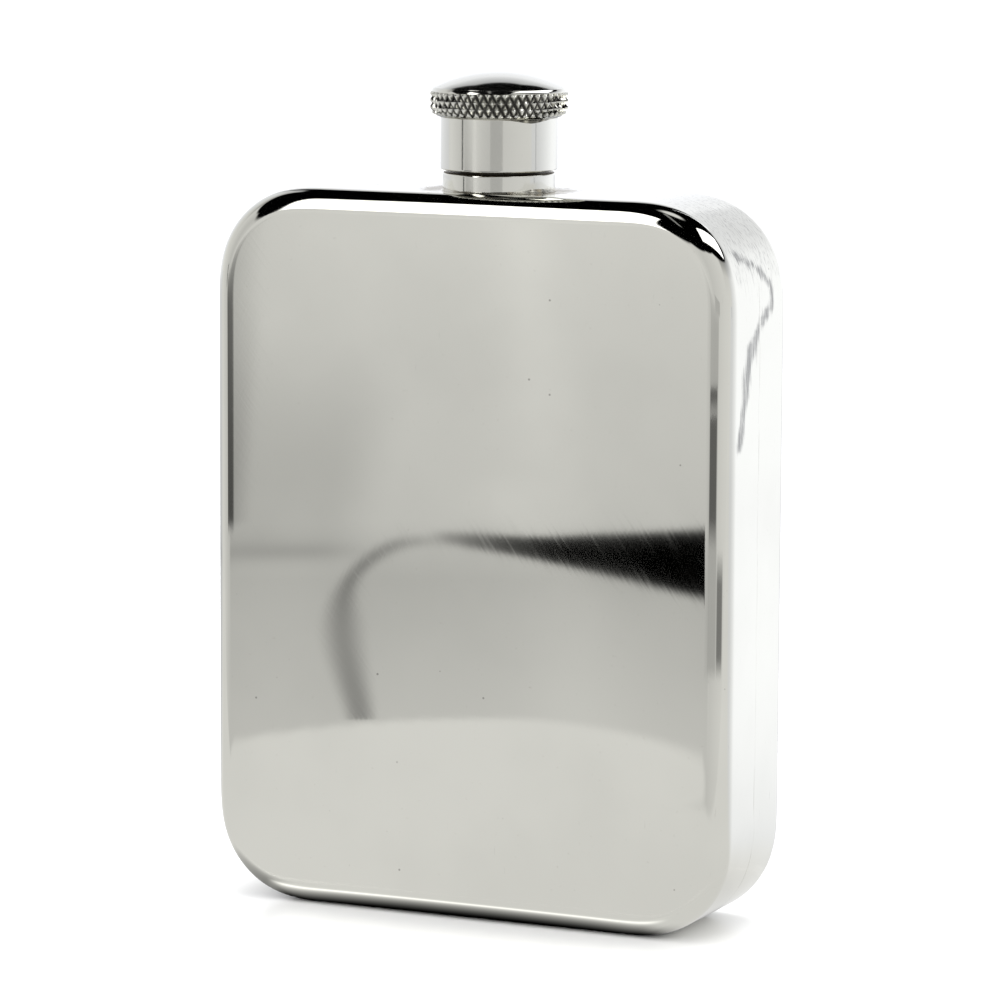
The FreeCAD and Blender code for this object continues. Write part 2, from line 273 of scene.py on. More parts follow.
def pewter(name, colour, roughness, scratches, painted=(), tarnish=0.0, pits=0.5):
    """Polished pewter: fine polishing lines, small pits and cloudy patches.

    scratches is the depth of the lines in metres, and pits the strength of the pits' colour.
    painted names mesh attributes that darken it: one is painted shade in a knurl's grooves, under the head
    and on solder beads; one is rough seam solder, painted darker as a painted reflection of its filing
    ripples; and one is the brown bloom round a soldered joint, with painted shade in the gap between the
    collar and the cap.
    """
    material, n = new_material(name)
    cloud = n.even_noise(38, 3)
    lines = n.stretched_noise((0, 38, 0), (2100, 900, 95), 2)
    cross = n.stretched_noise((0, -24, 0), (3000, 900, 120), 1)
    grain = n.even_noise(2600, 2)
    place = n.add("ShaderNodeTexCoord").outputs["Object"]
    cells = n.add("ShaderNodeTexVoronoi", {"Vector": place, "Scale": PIT_CELLS, "Randomness": 1.0})
    draw = n.add("ShaderNodeSeparateColor", {0: cells.outputs["Color"]}).outputs[0]
    chosen = n.ramp(draw, 0.98 - PIT_SHARE, 1.02 - PIT_SHARE)
    pit = n.math("MULTIPLY", n.ramp(cells.outputs["Distance"], 0.025, 0.07, 1.0, 0.0), chosen)

    dull = tuple(0.95 * c for c in colour)
    shade = n.mix_colour(n.ramp(cloud, 0.35, 0.7), colour + (1.0,), dull + (1.0,))
    shade = n.mix_colour(n.math("MULTIPLY", pit, pits), shade, PIT_COLOUR)
    rough = n.ramp(cloud, 0.3, 0.75, roughness, roughness * 1.5)
    rough = n.math("ADD", rough, n.ramp(lines, 0.5, 0.8, 0.0, roughness * 0.6))
    if tarnish:
        spots = n.even_noise(420, 4)
        shade = n.mix_colour(n.ramp(spots, 0.42, 0.7, 0.0, tarnish), shade, TARNISH_COLOUR)
        rough = n.math("ADD", rough, n.ramp(spots, 0.42, 0.7, 0.0, 0.3 * tarnish))
    for attribute in painted:
        tint, cover, roughening = DIRT_AND_SHADE[attribute]
        amount = n.add("ShaderNodeAttribute", attribute_name=attribute).outputs["Fac"]
        if attribute in DIRT_AND_SHADE_GRAIN:
            patchy = n.stretched_noise((0, 0, 0), *DIRT_AND_SHADE_GRAIN[attribute])
            amount = n.ramp(n.math("ADD", n.math("MULTIPLY", amount, 0.6), patchy), 0.66, 1.25)
        shade = n.mix_colour(n.math("MULTIPLY", amount, cover), shade, tint)
        rough = n.math("ADD", rough, n.math("MULTIPLY", amount, roughening))

    height = n.math("ADD", lines, n.math("MULTIPLY", cross, 0.5))
    height = n.math("ADD", height, n.math("MULTIPLY", grain, 0.12))
    height = n.math("SUBTRACT", height, n.math("MULTIPLY", pit, 6.0))
    n.surface(shade, rough, height, scratches)
    return material


def plated_brass(name):
    """Plated brass with turning lines round its axis, brass showing through at worn places, and painted
    shade near the collar.
    """
    material, n = new_material(name)
    turning = n.stretched_noise((0, 0, 0), (60, 60, 5200), 2)
    wear = n.stretched_noise((0, 0, 0), (520, 520, 900), 4)
    shade = n.mix_colour(n.ramp(wear, 0.5, 0.68), (0.74, 0.71, 0.64, 1.0), (0.70, 0.55, 0.30, 1.0))
    place = n.add("ShaderNodeTexCoord").outputs["Object"]
    rise = n.add("ShaderNodeSeparateXYZ", {0: place}).outputs[2]
    # painted shade: near-black low down, where the spout shows in the gap under the cap
    painted_shade_amount = n.ramp(rise, (COLLAR_HIGH + 0.6) * MM, (COLLAR_HIGH + 1.6) * MM, 0.97, 0.0)
    shade = n.mix_colour(painted_shade_amount, shade, (0.02, 0.017, 0.012, 1.0))
    n.surface(shade, n.ramp(wear, 0.35, 0.75, 0.16, 0.38), turning, 0.00001)
    return material


def washer_rubber(name):
    """Pale rubber washer with a fine moulded grain and a greyed, handled look."""
    material, n = new_material(name)
    grain = n.even_noise(3000, 3)
    greyed = n.ramp(n.even_noise(300, 4), 0.4, 0.75)
    shade = n.mix_colour(greyed, (0.70, 0.67, 0.59, 1.0), (0.50, 0.46, 0.38, 1.0))
    n.surface(shade, n.ramp(grain, 0.2, 0.8, 0.5, 0.72), grain, 0.00003, strength=0.6, metallic=0.0)
    return material


BODY_COLOUR = (0.80, 0.795, 0.735)
CAP_COLOUR = (0.78, 0.775, 0.72)
SEAM_COLOUR = (0.79, 0.785, 0.725)
SOLDER_COLOUR = (0.60, 0.585, 0.52)
# the body's seam marks are partly painted reflection; the cap's metal takes painted shade in the collar's
# gap
body_metal = pewter("pewter_body", BODY_COLOUR, 0.024, 0.25e-6, painted=("rough_and_painted_reflection", "stain_and_gap_shade"))
cap_metal = pewter("pewter_cap", CAP_COLOUR, 0.06, 0.5e-6, painted=("stain_and_gap_shade",), pits=0.2)
# the knurl and the solder are darkened with painted shade from a mesh attribute
knurl_metal = pewter("pewter_knurl", CAP_COLOUR, 0.06, 1e-6, painted=("painted_shade",), pits=0.0)
solder_metal = pewter("solder", SOLDER_COLOUR, 0.16, 4e-6, painted=("painted_shade",), tarnish=0.75, pits=0.8)
seam_metal = pewter("seam_solder", SEAM_COLOUR, 0.04, 0.4e-6)
brass = plated_brass("plated_brass")
rubber = washer_rubber("seal")


# ---- body shells --------------------------------------------------------------------
def eased_corner(steps):
    """A quarter turn whose bend sets in gradually, through the middle of the CAD's round corner.

    Gives the places, from a start at (0, 0) heading up, and the angles of the outward normal.
    """
    share = np.linspace(0, 1, 2001)
    bend = np.clip(np.minimum(share, 1 - share) / EASE, 0, 1)
    angle = np.concatenate([[0], np.cumsum(bend[1:] + bend[:-1])])
    angle = angle / angle[-1] * np.pi / 2
    across = np.concatenate([[0], np.cumsum(np.sin(angle[1:]) + np.sin(angle[:-1]))])
    along = np.concatenate([[0], np.cumsum(np.cos(angle[1:]) + np.cos(angle[:-1]))])
    size = CORNER * (1 - math.cos(math.pi / 4)) / across[len(across) // 2]
    wanted = np.linspace(0, 1, steps, endpoint=False)
    places = [np.interp(wanted, share, values) for values in (-across * size, along * size, angle)]
    return places, along[-1] * size


def outline():
    """The rounded outline as centres and outward normals in (x, z): centre + normal * CORNER lies on it."""
    (across, along, angle), reach = eased_corner(CORNER_STEPS)
    half_w = WIDTH / 2
    corners = [(half_w, 0, -90), (half_w, HEIGHT, 0), (-half_w, HEIGHT, 90), (-half_w, 0, 180)]
    runs = [LONG_STEPS, WIDE_STEPS, LONG_STEPS, WIDE_STEPS]
    places, normals = [], []
    for (x, z, start), steps, (next_x, next_z, _) in zip(corners, runs, corners[1:] + corners[:1]):
        a = math.radians(start)
        out, up = np.array([math.cos(a), math.sin(a)]), np.array([-math.sin(a), math.cos(a)])
        for o, u, t in zip(across, along - reach, angle):
            places.append(np.array([x, z]) + o * out + u * up)
            normals.append((math.cos(a + t), math.sin(a + t)))
        first, last = np.array([x, z]) - reach * out, np.array([next_x, next_z]) + reach * out
        for t in np.linspace(0, 1, steps, endpoint=False):
            places.append(first + (last - first) * t)
            normals.append(tuple(up))
    normals = np.array(normals)
    return np.array(places) - normals * CORNER, normals


def outline_ring(core, normal, inset, y):
    """The outline moved inwards by inset, at depth y."""
    place = core + normal * (CORNER - inset)
    return np.column_stack([place[:, 0], np.full(len(core), y), place[:, 1]])


def surface_rows(edge, half_depth, inset, steps):
    """Rows of (inset from the outline, y) from the seam over the rolled edge to the corner centres."""
    side_steps, roll_steps, flat_steps = steps
    side_end = half_depth + inset - EDGE
    side = [(inset, -y) for y in np.linspace(SEAM, side_end, side_steps, endpoint=False)]
    roll = []
    for t in np.linspace(90, 0, roll_steps):
        a = math.radians(t)
        roll.append((inset + edge * (1 - math.sin(a)), -(half_depth - edge + edge * math.cos(a))))
    flat = [(d, -half_depth) for d in np.linspace(inset + edge, CORNER - 4.5, flat_steps)[1:]]
    return side + roll + flat


# layers of unevenness in the polished surface, as (depth in mm, size in mm, seed)
WAVINESS = [(0.006, 30.0, 1), (0.001, 11.0, 2)]  # all over
FILING = [(0.035, 7.5, 3), (0.008, 3.0, 4)]  # added on the sides
FILED_REACH = 9.0  # distance from the seam at which the filing has faded out


def body_wobble(points):
    """How far each point of the polished surface strays from true, in mm, along its normal."""
    from_seam = np.abs(points[:, 1])
    on_side = np.clip((HALF_DEPTH - EDGE + 0.5 - from_seam) / 2.0, 0, 1)
    near_seam = np.clip(1 - from_seam / FILED_REACH, 0, 1)
    return waves(points, WAVINESS) + near_seam * waves(points, FILING) * on_side


# where the seam's solder is rough on the right-hand side and painted darker as a painted reflection of its
# filing ripples, as (y, z)
ROUGH_SEAM = [(-6, 108), (0, 106), (5, 103), (5, 100), (0, 97), (-4, 93), (-8, 79)]
ROUGH_WIDTHS = [(80, 1.5), (94, 2.0), (100, 1.0)]  # how wide it is, by height


def distance_to_line(points, line):
    """Distance of each point from a line of straight runs."""
    best = np.full(len(points), 1e9)
    for a, b in zip(np.array(line, float), np.array(line[1:], float)):
        t = np.clip((points - a) @ (b - a) / ((b - a) @ (b - a)), 0, 1)
        best = np.minimum(best, np.linalg.norm(points - (a + t[:, None] * (b - a)), axis=1))
    return best


def seam_marks(points):
    """Where the metal is rough and painted darker: along ROUGH_SEAM, as a painted reflection of filing
    ripples, low down on the seam as a thin dark line, and on the right shoulder.
    """
    x, y, z = points.T
    away = distance_to_line(points[:, [1, 2]], ROUGH_SEAM)
    width = np.interp(z, *zip(*ROUGH_WIDTHS)) * (1 + 0.6 * wave(points, 3.0, 32))
    on_side = np.clip((x - 38) / 4, 0, 1)
    marks = np.clip(1.4 - away / np.maximum(width, 0.3), 0, 1) * on_side
    line = np.exp(-((y / 0.3) ** 2)) * np.clip(0.3 + 0.5 * wave(points, 6.0, 33), 0, 0.6)
    low_down = np.clip((34 - z) / 14, 0, 1) * np.clip(x / 10 - 1.2, 0, 1)
    shoulder = np.clip((z - 100) / 5, 0, 1) * np.clip((x - 16) / 14, 0, 1)
    shoulder = shoulder * np.clip((HALF_DEPTH - EDGE + 1.0 - np.abs(y)) / 2, 0, 1)
    return np.maximum(np.maximum(marks, 0.42 * shoulder), line * low_down)


def neck_stain(points):
    """Smudges on the shoulder beside the soldered neck."""
    x, y, z = points.T
    reach = np.hypot(x, y) - COLLAR_R
    near = np.clip(1 - np.maximum(reach, 0) / 5.5, 0, 1) * (z > HEIGHT - 1.5)
    sides = np.clip(np.abs(x) / 9.0 - 0.35, 0, 1)
    return near * sides * np.clip(2.4 + 1.4 * wave(points, 2.5, 41), 0, 2.4)


def closed_skin(core, normal, rows, steps):
    """Rings for the rows and for the flat within them, and the point in its middle."""
    rings = [outline_ring(core, normal, inset, y) for inset, y in rows]
    last = rings[-1]
    middle = np.array([0, last[0, 1], HEIGHT / 2])
    for t in np.linspace(1, 0, steps, endpoint=False)[1:]:
        rings.append(middle + (last - middle) * t)
    return rings, middle


def skin_normals(rows, normal, points):
    """The outward normal of the true surface at each point: its rows, then the flat."""
    count = len(normal)
    out = np.tile([0.0, -1.0, 0.0], (points, 1))
    for k, (inset, y) in enumerate(rows):
        on_side = y > -(HALF_DEPTH - EDGE)
        angle = math.pi / 2 if on_side else math.asin(1 - np.clip(inset / EDGE, 0, 1))
        row = out[k * count : (k + 1) * count]
        row[:, 0] = normal[:, 0] * math.sin(angle)
        row[:, 1] = -math.cos(angle)
        row[:, 2] = normal[:, 1] * math.sin(angle)
    return out


def shell(name, side, material):
    """One pressing, closed: outer skin, inner skin and the rim at the seam. side is -1 front, 1 back."""
    core, normal = outline()
    count = len(core)
    outer_rows = surface_rows(EDGE, HALF_DEPTH, 0.0, OUTER_ROWS[:3])
    inner_rows = surface_rows(EDGE - WALL, HALF_DEPTH - WALL, WALL, INNER_ROWS[:3])
    outer, outer_middle = closed_skin(core, normal, outer_rows, OUTER_ROWS[3])
    inner, inner_middle = closed_skin(core, normal, inner_rows, INNER_ROWS[3])

    skin = np.vstack(outer + [outer_middle])
    base = np.clip(skin[:, 2] / 4.0, 0, 1)  # the base stays true, so the flask stands flat
    stray = body_wobble(skin * np.array([1, -side, 1])) * base
    skin = skin + skin_normals(outer_rows, normal, len(skin)) * stray[:, None]
    vertices = np.vstack([skin] + inner + [inner_middle])

    start = len(skin)
    faces = ring_faces(len(outer), count) + fan((len(outer) - 1) * count, count, start - 1)
    inside = turned_over(ring_faces(len(inner), count))
    inside += fan((len(inner) - 1) * count, count, len(inner) * count, turned=True)
    faces += [tuple(start + v for v in face) for face in inside]
    faces += [(i, start + i, start + (i + 1) % count, (i + 1) % count) for i in range(count)]
    if side > 0:
        vertices = vertices * np.array([1, -1, 1])
        faces = turned_over(faces)
    obj = make_object(name, vertices, faces, material)
    # rough seam marks painted darker, as a painted reflection of the filing ripples; the stain by the neck
    # is real
    set_attribute(obj, "rough_and_painted_reflection", seam_marks(vertices))
    set_attribute(obj, "stain_and_gap_shade", neck_stain(vertices))
    cut_neck_hole(obj)
    sharp_edges(obj, 40)
    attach(obj, "flask_body")
    return obj


# half of the bead inside the seam, as (height above the wall, distance from the middle)
BEAD = [(0.02, 0.75), (0.35, 0.45)]
BEAD_TOP = 0.5


def seam():
    """The solder in the seam: flush outside, with a rounded, lumpy bead on the inside."""
    core, normal = outline()
    section = [(0.002, -SEAM), (0.001, 0.0), (0.002, SEAM), (WALL, SEAM)]
    section += [(WALL + rise, y) for rise, y in BEAD] + [(WALL + BEAD_TOP, 0.0)]
    section += [(WALL + rise, -y) for rise, y in BEAD[::-1]] + [(WALL, -SEAM)]
    rings = []
    for inset, y in section:
        ring = outline_ring(core, normal, inset, y)
        if inset > WALL:
            lumps = 0.15 * np.abs(wave(ring, 4.0, 6))
            ring[:, [0, 2]] -= normal * lumps[:, None]
        rings.append(ring)
    faces = ring_faces(len(rings), len(core), True)
    obj = make_object("seam_solder_line", np.vstack(rings), faces, seam_metal)
    cut_neck_hole(obj)
    sharp_edges(obj, 50)
    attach(obj, "flask_body")
    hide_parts("seam_solder")


for side, node in ((-1, "front_shell"), (1, "back_shell")):
    piece = shell(node + "_skin", side, body_metal)
    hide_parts(node)
seam()


# ---- turned pieces ------------------------------------------------------------------
GAP_SHADE = 2.0  # painted shade, in the gap between the collar and the cap
# a fillet's section, as shares of its size (out from the cylinder, away from the plane)
FILLET_SECTION = [
    (0.0, 0.0), (1.0, 0.0), (0.98, 0.05), (0.62, 0.13), (0.34, 0.34), (0.13, 0.62), (0.05, 0.98), (0.0, 1.0),
]


def lathe(name, profile, segments, material, body, node):
    """A turned piece from a closed outline of (radius, z), the first and last on the axis if radius is 0."""
    solid = profile[0][0] == 0 and profile[-1][0] == 0
    inside = profile[1:-1] if solid else profile
    ends = (profile[0][1], profile[-1][1]) if solid else None
    angles = full_turn(segments)
    obj = make_object(name, *turned_mesh([circle(r, z, angles) for r, z in inside], ends), material)
    sharp_edges(obj, 35)
    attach(obj, body)
    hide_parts(node)
    return obj


def arc(centre, radius, start, end, steps):
    """Points of a circle in the (radius, z) plane, angles in degrees."""
    return [
        (centre[0] + radius * math.cos(math.radians(t)), centre[1] + radius * math.sin(math.radians(t)))
        for t in np.linspace(start, end, steps)
    ]


def collar():
    top, foot, lip = COLLAR_HIGH, COLLAR_LOW, 0.25
    profile = [(COLLAR_BORE, foot), (SPIGOT_R, foot), (SPIGOT_R, HEIGHT), (COLLAR_R, HEIGHT)]
    profile += [(COLLAR_R, z) for z in np.linspace(HEIGHT + 0.2, top - 0.3, 12)]
    profile += arc((COLLAR_R - lip, top - lip), lip, 0, 90, 6)
    profile += [(COLLAR_BORE + 0.1, top), (COLLAR_BORE, top - 0.1)]
    profile = profile[::-1]
    ring = lathe("collar_ring", profile, TURN_STEPS, cap_metal, "flask_body", "neck_collar")
    places = vertex_places(ring)
    x, y, z = places.T
    near_foot = np.clip(1 - (z - HEIGHT) / 1.9, 0, 1)
    sides = 0.35 + 0.65 * np.sin(np.arctan2(x, -y) - 0.4) ** 2
    bloom = near_foot**1.6 * sides * np.clip(0.7 + 0.8 * wave(places, 2.0, 51), 0, 1)
    # painted shade on the top face in the gap under the cap; the bloom at the foot is a real stain
    in_gap = (z > top - 0.15) & (np.hypot(x, y) < COLLAR_R - 0.12)
    set_attribute(ring, "stain_and_gap_shade", np.maximum(bloom, GAP_SHADE * in_gap))


def skirt():
    top, foot, lip = SKIRT_HIGH, SKIRT_LOW, 0.18
    profile = [(SKIRT_BORE, top), (SKIRT_R, top)]
    profile += [(SKIRT_R, z) for z in np.linspace(top - 0.5, foot + 0.3, 10)]
    profile += arc((SKIRT_R - lip, foot + lip), lip, 0, -90, 6)
    profile += [(SKIRT_BORE + 0.12, foot), (SKIRT_BORE, foot + 0.12)]
    sleeve = lathe("cap_sleeve", profile, TURN_STEPS, cap_metal, "cap", "cap_skirt")
    x, y, z = vertex_places(sleeve).T
    # painted shade on the foot's underside in the gap above the collar
    in_gap = (z < foot + 0.15) & (np.hypot(x, y) < SKIRT_R - 0.1)
    set_attribute(sleeve, "stain_and_gap_shade", GAP_SHADE * in_gap)


def lumpy_fillet(name, radius, size, z, way, seed, bead_at, bead, body, node):
    """A run of solder in the corner between a cylinder and the plane at z.

    It is uneven, and it is thicker by the share bead near the bearing bead_at, in degrees from -Y.
    """
    angles = full_turn(FILLET_STEPS)
    around = circle(radius, 0.0, angles)
    apart = (np.degrees(np.arctan2(around[:, 0], -around[:, 1])) - bead_at + 180) % 360 - 180
    uneven = 1 + waves(around, [(0.28, 3.0, seed), (0.16, 1.1, seed + 1)])
    uneven = uneven + bead * np.exp(-((apart / 16) ** 2))
    rings = []
    for out, up in FILLET_SECTION:
        on_face = 0.0 if out == 0 or up == 0 else 1.0
        grain = on_face * 0.03 * size * wave(around * (1 + out), 0.7, seed + 2)
        height = z + way * size * up * uneven + grain
        rings.append(circle(radius - 0.03 + size * out * uneven, height, angles))
    faces = ring_faces(len(rings), FILLET_STEPS, True)
    obj = make_object(name, np.vstack(rings), turned_over(faces) if way < 0 else faces, solder_metal)
    # painted shade on and around the bead, in patches
    bead_shade = bead * np.exp(-((apart / 20) ** 2)) * np.clip(0.6 + 0.8 * wave(around, 0.9, seed + 3), 0, 1)
    set_attribute(obj, "painted_shade", np.tile(np.clip(bead_shade, 0, 1), len(rings)))
    sharp_edges(obj, 60)
    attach(obj, body)
    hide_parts(node)


def washer():
    edge = 0.25
    profile = [(0, SEAL_HIGH)] + [(r, SEAL_HIGH) for r in (2.0, 4.0, 6.0)]
    profile += arc((SEAL_R - edge, SEAL_HIGH - edge), edge, 90, 0, 5)
    profile += arc((SEAL_R - edge, SEAL_LOW + edge), edge, 0, -90, 5)
    profile += [(r, SEAL_LOW) for r in (6.4, 4.0, 2.0)] + [(0, SEAL_LOW)]
    lathe("washer", profile[::-1], 160, rubber, "seal", "seal")


def knurl_row(z, low_z, top_z, angles):
    """One ring of the knurled band, with painted shade in its grooves. The band turns in below."""
    turn = KNURLS * angles / (2 * np.pi)
    climb = (z - low_z) / KNURL_PITCH
    right = np.abs((turn + climb) % 1 - 0.5) * 2
    left = np.abs((turn - climb) % 1 - 0.5) * 2
    cut = np.clip((np.maximum(right, left * 0.94) - 0.12) / 0.88, 0, 1)  # worn flats on the diamonds
    top_fade = min(1.0, (top_z - z) / 0.25)
    fade = top_fade * min(1.0, (z - low_z) / 0.12 + 0.25)
    below = min(max(0.0, 1 - (z - low_z) / 1.1), 1.0)
    turn_in = 0.65 * (1 - math.sqrt(1 - below**2))
    burr = 1 + 0.10 * np.sin(turn * 7.3 + 3 * climb)
    r = HEAD_R - turn_in - KNURL_DEPTH * cut * fade * burr - (1 - top_fade) * 0.2
    return circle(r, z, angles), np.clip((cut - 0.45) / 0.4, 0, 1) * fade


def head():
    """Domed head: dome, smooth lip, knurled band that turns in below, and the chamber underneath."""
    angles = full_turn(KNURLS * KNURL_STEPS)
    count = len(angles)
    sphere = (LIP_R**2 + DOME**2) / (2 * DOME)
    reach = math.asin((LIP_R - 0.35) / sphere)
    dome = [
        (sphere * math.sin(t), HEAD_HIGH - sphere * (1 - math.cos(t)))
        for t in np.linspace(0, reach, 40)[1:]
    ]
    lip_middle = (LIP_R - LIP_CURVE * math.cos(0.26), dome[-1][1] - LIP_CURVE * 0.71)
    lip = arc(lip_middle, LIP_CURVE, 45, 15, 7)
    band_top, band_low = lip[-1][1] - 0.03, HEAD_LOW + 0.30
    rise = KNURL_PITCH / KNURL_STEPS
    band = [band_low + rise * k for k in range(int((band_top - band_low) / rise) + 1)][::-1]
    hole, chamber_top = SKIRT_R + FIT_GAP, SEAL_HIGH + 0.05
    # the underside, as (radius, z, painted shade)
    underside = [(UNDERSIDE_R + 0.12, HEAD_LOW + 0.14, 0.5), (UNDERSIDE_R, HEAD_LOW, 0.4)]
    underside += [(hole, HEAD_LOW, 0.0), (hole, SKIRT_HIGH, 0.0)]
    underside += [(SKIRT_BORE, SKIRT_HIGH, 0.0), (SKIRT_BORE, chamber_top, 0.0), (4.0, chamber_top, 0.0)]

    rows = [(circle(r, z, angles), np.zeros(count)) for r, z in dome + lip]
    rows += [knurl_row(z, band_low, band_top, angles) for z in band]
    rows += [(circle(r, z, angles), np.full(count, painted_shade_amount)) for r, z, painted_shade_amount in underside]
    vertices, faces = turned_mesh([ring for ring, _ in rows], (HEAD_HIGH, chamber_top))
    obj = make_object("cap_dome", vertices, faces, knurl_metal)
    # painted shade in the knurl's grooves and round the underside's outer edge
    set_attribute(obj, "painted_shade", np.concatenate([painted_shade_amount for _, painted_shade_amount in rows] + [np.zeros(2)]))

    obj.data.materials.append(cap_metal)
    polished = np.zeros(len(faces), np.int32)  # the dome and the lip are of the second material
    polished[: (len(dome + lip) - 1) * count] = 1
    polished[-2 * count : -count] = 1
    obj.data.polygons.foreach_set("material_index", polished)
    sharp_edges(obj, 50)
    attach(obj, "cap")
    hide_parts("cap_head")


collar()
skirt()
washer()
head()
lumpy_fillet("neck_fillet", COLLAR_R, 0.36, HEIGHT, 1, 11, 65, 0.9, "flask_body", "neck_solder")
lumpy_fillet("cap_fillet", SKIRT_R, 0.26, HEAD_LOW, -1, 21, 58, 1.9, "cap", "cap_solder")

for node in ("threaded_spout", "thread_insert"):
    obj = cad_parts[node]
    obj.data.materials.clear()
    obj.data.materials.append(brass)


# ---- studio -------------------------------------------------------------------------
# The floor, an even world and one soft lamp are what the camera sees and what lights the floor.
# Polished metal looks like what stands round it, so mirror rays alone see a table with a lit pool
# and dark cards lying on it, under a dark room with softboxes. All of it is placed one by one.
FLOOR_HALF = 4000
WHITE = (1.0, 1.0, 1.0, 1.0)
COOL_WHITE = (0.985, 1.0, 1.05, 1.0)  # the room behind the flask, which its sides mirror


def ghost(obj):
    """A card that only mirror reflections see."""
    obj.visible_camera = False
    obj.visible_diffuse = False
    obj.visible_shadow = False
    obj.visible_transmission = False
    obj.visible_volume_scatter = False


def floor():
    material, n = new_material("floor")
    grain = n.even_noise(900, 2)
    n.surface((0.93, 0.93, 0.925, 1.0), 0.22, grain, 0.00002, strength=0.05, metallic=0.0, specular=0.12)
    corners = [(x * FLOOR_HALF, y * FLOOR_HALF, 0) for x, y in ((-1, -1), (1, -1), (1, 1), (-1, 1))]
    make_object("floor", corners, [(0, 1, 2, 3)], material)


def card_material(name):
    """Glows upwards with the tone attribute, is clear from below and where the cover attribute is 0."""
    material, n = new_material(name)
    tone = n.add("ShaderNodeAttribute", attribute_name="tone").outputs["Fac"]
    cover = n.add("ShaderNodeAttribute", attribute_name="cover").outputs["Fac"]
    behind = n.add("ShaderNodeNewGeometry").outputs["Backfacing"]
    place = n.add("ShaderNodeNewGeometry").outputs["Position"]
    y = n.add("ShaderNodeSeparateXYZ", {0: place}).outputs[1]
    colour = n.mix_colour(n.ramp(y, HALF_DEPTH * MM, 0.06), WHITE, COOL_WHITE)
    glow = n.add("ShaderNodeEmission", {"Color": colour, "Strength": tone})
    clear = n.add("ShaderNodeBsdfTransparent")
    opaque = n.math("MULTIPLY", cover, n.math("SUBTRACT", 1.0, behind))
    mixed = n.add("ShaderNodeMixShader", {0: opaque, 1: clear.outputs[0], 2: glow.outputs[0]})
    n.add("ShaderNodeOutputMaterial", {"Surface": mixed.outputs[0]})
    return material


card = card_material("reflection_card")


def smooth(value, low_end, high_end):
    t = np.clip((value - low_end) / (high_end - low_end), 0, 1)
    return t * t * (3 - 2 * t)


def hump(value, middle, width):
    return np.exp(-(((value - middle) / width) ** 2))


# Bearings are in degrees from straight ahead of the flask, positive to its right.
LEFT_EDGE = (-(WIDTH / 2 - EDGE), -HALF_DEPTH)  # where the front face starts to roll, in plan
RIGHT_EDGE = (WIDTH / 2 - EDGE, -HALF_DEPTH)
SEEN_LEFT, SEEN_RIGHT = -28, -22  # bearings between which the front face mirrors the table
SEEN_WAY = math.radians(25)  # their middle, in radians to the left
SIDE_WAY = 155  # bearing along which the right-hand side mirrors the table

# brightness at the horizon and of the far table, by bearing
ROOM_TONES = [
    (-180, 1.25), (-150, 1.15), (-90, 0.85), (-45, 0.62), (-20, 0.75), (5, 0.65), (60, 0.75), (105, 0.80),
    (150, 1.20), (180, 1.25),
]
# brightness of the table that the front face mirrors, by distance from the flask
TABLE_TONES = [(150, 0.64), (280, 0.58), (360, 0.54), (450, 0.65), (1250, 0.76)]
STREAK_DISTANCE = 400  # the dark streak lies across the table here
POOL_TONE = 0.79
POOL_END = -118  # how far out the pool lies all along the flask
POOL_MIDDLE, POOL_LEFT, POOL_RIGHT, POOL_OUT = -58, 48, 58, 58  # the bulge beyond that
POOL_SQUARE = 1.7  # 2 would make the bulge an ellipse


def bearing_from(origin, x, y):
    return np.degrees(np.arctan2(x - origin[0], -(y - origin[1])))


def lit_pool(x, y):
    """1 in the lit pool: a band in front of the flask with a rounded bulge on its far side."""
    aside = np.abs(x - POOL_MIDDLE) / np.where(x < POOL_MIDDLE, POOL_LEFT, POOL_RIGHT)
    out = np.abs(y - POOL_END) / POOL_OUT
    bulge = smooth((aside**POOL_SQUARE + out**POOL_SQUARE) ** (1 / POOL_SQUARE), 1.08, 0.94)
    band = smooth(y, POOL_END - 2, POOL_END + 12)
    return np.maximum(band, bulge) * smooth(np.abs(bearing_from((0, 0), x, y)), 110, 80)


def table_tone(x, y):
    """How bright the table looks from the flask, by place in mm."""
    distance = np.hypot(x, y)
    across = x * math.cos(SEEN_WAY) - y * math.sin(SEEN_WAY) - 5  # along the face, where it is mirrored

    # what the front face mirrors: lighter in one stripe, and dimmer on the left beyond the streak
    on_left = smooth(across, -18, -36)
    near = np.interp(distance, *zip(*TABLE_TONES)) * (1 + 0.10 * hump(across, 22, 12))
    dim = 0.16 * smooth(distance, STREAK_DISTANCE - 15, STREAK_DISTANCE + 10) * smooth(distance, 900, 520)
    smear = 0.17 * hump(distance, STREAK_DISTANCE, 17)
    patch = 0.07 * hump(across, 9, 8) * hump(distance, STREAK_DISTANCE + 80, 50)
    near = near * (1 - (dim + smear) * on_left + patch)

    # everywhere else it follows the room, but for a dimmer part that the back mirrors
    beside_left = smooth(bearing_from(LEFT_EDGE, x, y), SEEN_LEFT - 2, SEEN_LEFT - 12)
    beside_right = smooth(bearing_from(RIGHT_EDGE, x, y), SEEN_RIGHT + 2, SEEN_RIGHT + 12)
    off_side = (bearing_from((WIDTH / 2, HALF_DEPTH), x, y) - SIDE_WAY + 180) % 360 - 180
    behind = 0.8 * smooth(off_side, 8, 30) * smooth(y, HALF_DEPTH, 60) * smooth(distance, 2500, 900)
    elsewhere = np.where(y < -HALF_DEPTH, np.maximum(beside_left, beside_right), 1 - behind)
    far = np.interp(bearing_from((0, 0), x, y), *zip(*ROOM_TONES))
    ground = near + (far - near) * elsewhere
    return ground + (POOL_TONE - ground) * lit_pool(x, y)


